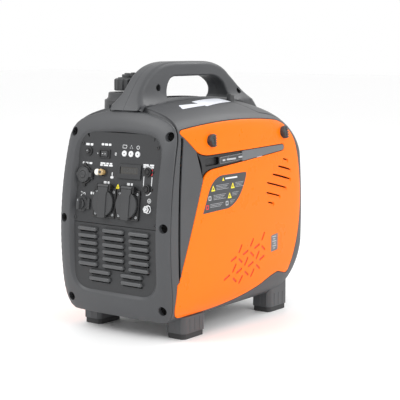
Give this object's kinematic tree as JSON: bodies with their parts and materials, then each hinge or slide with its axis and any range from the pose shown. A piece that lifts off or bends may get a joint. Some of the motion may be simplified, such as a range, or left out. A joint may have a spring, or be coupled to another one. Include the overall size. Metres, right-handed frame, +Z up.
{
  "type": "portable generator",
  "caption": "Portable suitcase generator with a moulded housing, carrying handle, control panel with sockets, louvred grille, lift-off side door and recoil starter.",
  "frame": {"origin": "centre of the footprint, on the surface that the four foot pads stand on", "axes": "+Z up, -Y towards the user at the control panel end, +X the operator's right, the side with the service door"},
  "size_m": [0.28, 0.446, 0.4786],
  "materials": {
    "housing_grey": "fine moulded grain, satin",
    "door_orange": "smooth painted plastic, semi-gloss",
    "panel_dark": "coarse moulded grain, matt",
    "trim_black": "smooth, satin",
    "foot_rubber": "matt",
    "chrome": "plated",
    "cast_aluminium": "sand cast",
    "steel": "bare sheet",
    "copper": "enamelled windings",
    "clear_cap": "clear moulded plastic"
  },
  "bodies": {
    "housing": {"right_housing": "housing_grey", "left_housing": "housing_grey", "front_cover": "housing_grey", "rear_cover": "panel_dark", "left_panel": "door_orange", "fuel_filler_collar": "panel_dark", "handle_right_half": "housing_grey", "handle_left_half": "housing_grey", "foot_front_right": "foot_rubber", "foot_front_left": "foot_rubber", "foot_rear_right": "foot_rubber", "foot_rear_left": "foot_rubber", "intake_grille": "panel_dark", "control_panel": "panel_dark", "ac_socket_left": "trim_black", "ac_socket_right": "trim_black", "dc_socket": "trim_black", "eco_switch_bezel": "trim_black", "breaker_body": "trim_black", "indicator_lamp_oil": "clear_cap", "indicator_lamp_overload": "clear_cap", "indicator_lamp_output": "clear_cap", "display_meter": "trim_black", "parallel_socket_upper": "trim_black", "parallel_socket_lower": "trim_black", "engine_switch_body": "trim_black", "fuel_cock_bezel": "panel_dark", "earth_stud": "chrome", "crankcase": "cast_aluminium", "cylinder": "cast_aluminium", "cylinder_head": "cast_aluminium", "spark_plug": "chrome", "spark_plug_boot": "foot_rubber", "carburettor": "steel", "air_filter_box": "trim_black", "muffler": "steel", "stator": "copper", "fan_cowl": "trim_black", "fuel_tank": "trim_black", "inverter_module": "cast_aluminium"},
    "door": {"service_door": "door_orange", "door_stripe": "trim_black"},
    "front_latch": {"door_latch_front": "panel_dark"},
    "rear_latch": {"door_latch_rear": "panel_dark"},
    "plug_cover": {"spark_plug_access_cover": "housing_grey"},
    "filler_cap": {"fuel_cap": "panel_dark"},
    "vent_knob": {"fuel_cap_vent_knob": "panel_dark"},
    "left_lid": {"ac_lid_left": "panel_dark"},
    "right_lid": {"ac_lid_right": "panel_dark"},
    "dc_cover": {"dc_socket_cover": "panel_dark"},
    "eco_rocker": {"eco_rocker": "panel_dark"},
    "breaker_button": {"breaker_button": "panel_dark"},
    "engine_button": {"engine_switch_button": "clear_cap"},
    "fuel_cock": {"fuel_cock_knob": "panel_dark"},
    "earth_nut": {"earth_nut": "chrome"},
    "crank": {"crankshaft": "steel", "rotor_fan": "cast_aluminium"},
    "starter_pulley": {"recoil_pulley": "panel_dark"},
    "starter_grip": {"recoil_grip": "trim_black"},
    "oil_cap": {"oil_filler_cap": "door_orange"}
  },
  "joints": [
    {"name": "door_lift_off", "type": "slide", "parent": "housing", "child": "door", "axis": [1, 0, 0], "range_m": [0, 0.06]},
    {"name": "front_latch_turn", "type": "hinge", "parent": "door", "child": "front_latch", "pos_m": [0.13, -0.1, 0.3435], "axis": [1, 0, 0], "range_deg": [0, 90]},
    {"name": "rear_latch_turn", "type": "hinge", "parent": "door", "child": "rear_latch", "pos_m": [0.13, 0.132, 0.344], "axis": [1, 0, 0], "range_deg": [0, 90]},
    {"name": "plug_cover_lift", "type": "slide", "parent": "housing", "child": "plug_cover", "axis": [0, 0, 1], "range_m": [0, 0.05]},
    {"name": "fuel_cap_turn", "type": "hinge", "parent": "housing", "child": "filler_cap", "pos_m": [-0.052, -0.11, 0.43], "axis": [0, 0, 1], "range_deg": [0, 120]},
    {"name": "vent_knob_turn", "type": "hinge", "parent": "filler_cap", "child": "vent_knob", "pos_m": [-0.052, -0.11, 0.45], "axis": [0, 0, 1], "range_deg": [0, 90]},
    {"name": "left_lid_hinge", "type": "hinge", "parent": "housing", "child": "left_lid", "pos_m": [-0.024, -0.20902, 0.26467], "axis": [-1, 0, 0], "range_deg": [0, 110], "stiffness_Nm_per_rad": 0.004, "springref_deg": -51.57},
    {"name": "right_lid_hinge", "type": "hinge", "parent": "housing", "child": "right_lid", "pos_m": [0.0295, -0.20902, 0.26467], "axis": [-1, 0, 0], "range_deg": [0, 110], "stiffness_Nm_per_rad": 0.004, "springref_deg": -51.57},
    {"name": "dc_cover_hinge", "type": "hinge", "parent": "housing", "child": "dc_cover", "pos_m": [-0.0568, -0.20498, 0.281], "axis": [0, 0.1232, 0.9924], "range_deg": [0, 90]},
    {"name": "eco_rocker_tilt", "type": "hinge", "parent": "housing", "child": "eco_rocker", "pos_m": [-0.0332, -0.19522, 0.31909], "axis": [0, 0.1232, 0.9924], "range_deg": [-14, 0]},
    {"name": "breaker_push", "type": "slide", "parent": "housing", "child": "breaker_button", "axis": [0, 0.9924, -0.1232], "range_m": [0, 0.003], "stiffness_N_per_m": 200, "springref_m": -0.001},
    {"name": "engine_button_push", "type": "slide", "parent": "housing", "child": "engine_button", "axis": [0, 0.9924, -0.1232], "range_m": [0, 0.004], "stiffness_N_per_m": 200, "springref_m": -0.001},
    {"name": "fuel_cock_turn", "type": "hinge", "parent": "housing", "child": "fuel_cock", "pos_m": [-0.077, -0.20646, 0.22848], "axis": [0, 0.9924, -0.1232], "range_deg": [0, 90]},
    {"name": "earth_nut_turn", "type": "hinge", "parent": "housing", "child": "earth_nut", "pos_m": [0.0734, -0.20621, 0.23057], "axis": [0, 0.9924, -0.1232], "continuous": true},
    {"name": "crank_spin", "type": "hinge", "parent": "housing", "child": "crank", "pos_m": [-0.01, -0.1, 0.162], "axis": [0, 1, 0], "continuous": true},
    {"name": "starter_grip_pull", "type": "slide", "parent": "housing", "child": "starter_grip", "axis": [-1, 0, 0], "range_m": [0, 0.6], "stiffness_N_per_m": 15, "springref_m": -0.4},
    {"name": "starter_pulley_spin", "type": "hinge", "parent": "housing", "child": "starter_pulley", "pos_m": [-0.01, -0.163, 0.162], "axis": [0, 1, 0], "range_deg": [0, 730]},
    {"name": "oil_cap_turn", "type": "hinge", "parent": "housing", "child": "oil_cap", "pos_m": [0.05, 0.02, 0.142], "axis": [1, 0, 0], "range_deg": [0, 360]}
  ],
  "couplings": [
    {"joint": "starter_pulley_spin", "follows": "starter_grip_pull", "rad_per_m": 20.83}
  ]
}
